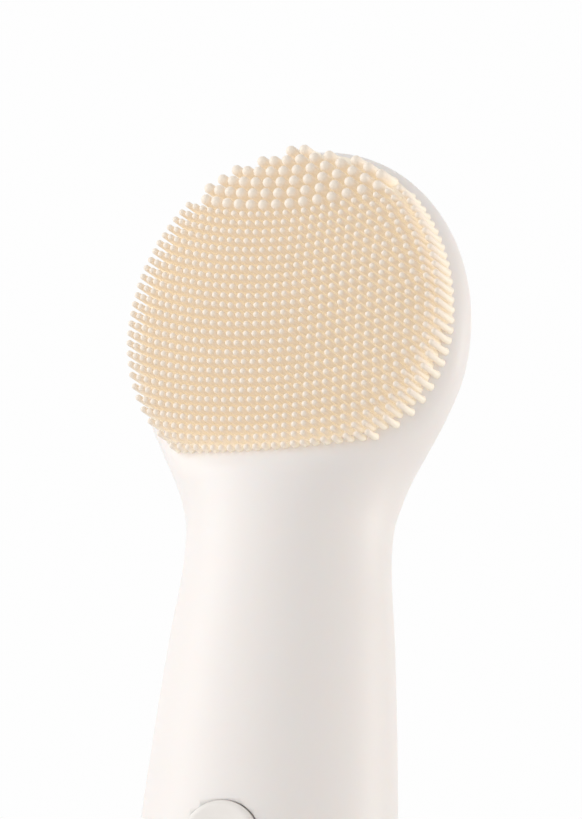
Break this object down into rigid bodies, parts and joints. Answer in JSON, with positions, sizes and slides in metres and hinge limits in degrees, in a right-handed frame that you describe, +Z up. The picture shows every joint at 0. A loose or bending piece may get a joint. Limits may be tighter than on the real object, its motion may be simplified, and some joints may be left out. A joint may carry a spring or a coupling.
{
  "type": "facial cleansing brush",
  "caption": "handheld facial cleansing brush with a round silicone bristle head, soft sleeved handle, vibration motor, power key and charging jack",
  "frame": {"origin": "centre of the flat base that the brush stands on", "axes": "+Z runs up the handle to the head, the bristles face -Y, +X is to the right seen from the bristle side"},
  "size_m": [0.0512, 0.0324, 0.1328],
  "materials": {
    "sleeve_silicone": "satin white silicone",
    "pad_silicone": "translucent cream silicone",
    "frame_plastic": "moulded inner plastic",
    "base_plastic": "polished white plastic",
    "seal_rubber": "grey seal rubber",
    "screw_steel": "plain steel",
    "motor_steel": "drawn steel can",
    "magnet_black": "sintered magnet",
    "weight_metal": "sintered metal",
    "bush_brass": "turned bush",
    "cell_wrap": "heat-shrunk wrap",
    "foam": "closed-cell foam",
    "tab_nickel": "nickel strip",
    "board_green": "solder mask",
    "chip_black": "moulded chip body",
    "led_lens": "light chip",
    "guide_clear": "clear light guide",
    "button_plastic": "soft white key",
    "switch_black": "switch housing",
    "jack_black": "jack housing",
    "lead_red": "insulated wire"
  },
  "bodies": {
    "body": {"body_sleeve": "sleeve_silicone", "bristle_pad": "pad_silicone", "fine_bristles": "pad_silicone", "thick_bristles": "pad_silicone", "front_frame": "frame_plastic", "rear_frame": "frame_plastic", "frame_screws": "screw_steel", "base_cap": "base_plastic", "base_gasket": "seal_rubber", "motor_can": "motor_steel", "motor_bush": "bush_brass", "motor_end_cap": "switch_black", "motor_magnets": "magnet_black", "motor_damper": "seal_rubber", "motor_strap": "frame_plastic", "strap_screws": "screw_steel", "battery_cell": "cell_wrap", "battery_tabs": "tab_nickel", "battery_foam": "foam", "main_board": "board_green", "board_screws": "screw_steel", "board_chips": "chip_black", "status_leds": "led_lens", "light_guide": "guide_clear", "power_switch": "switch_black", "button_gasket": "seal_rubber", "charging_jack": "jack_black", "jack_o_ring": "seal_rubber", "motor_leads": "lead_red", "jack_leads": "lead_red"},
    "rotor": {"motor_armature": "motor_steel", "motor_shaft": "screw_steel", "eccentric_weight": "weight_metal"},
    "button": {"power_button": "button_plastic"},
    "plunger": {"switch_plunger": "button_plastic"}
  },
  "joints": [
    {"name": "rotor_spin", "type": "hinge", "parent": "body", "child": "rotor", "pos_m": [0, 0.0021, 0.094], "axis": [0, 0, 1], "continuous": true},
    {"name": "button_press", "type": "slide", "parent": "body", "child": "button", "axis": [0, 1, 0], "range_m": [0, 0.00035], "stiffness_N_per_m": 400},
    {"name": "plunger_press", "type": "slide", "parent": "body", "child": "plunger", "axis": [0, 1, 0], "range_m": [0, 0.00035]}
  ],
  "couplings": [
    {"joint": "plunger_press", "follows": "button_press", "ratio": 1}
  ]
}
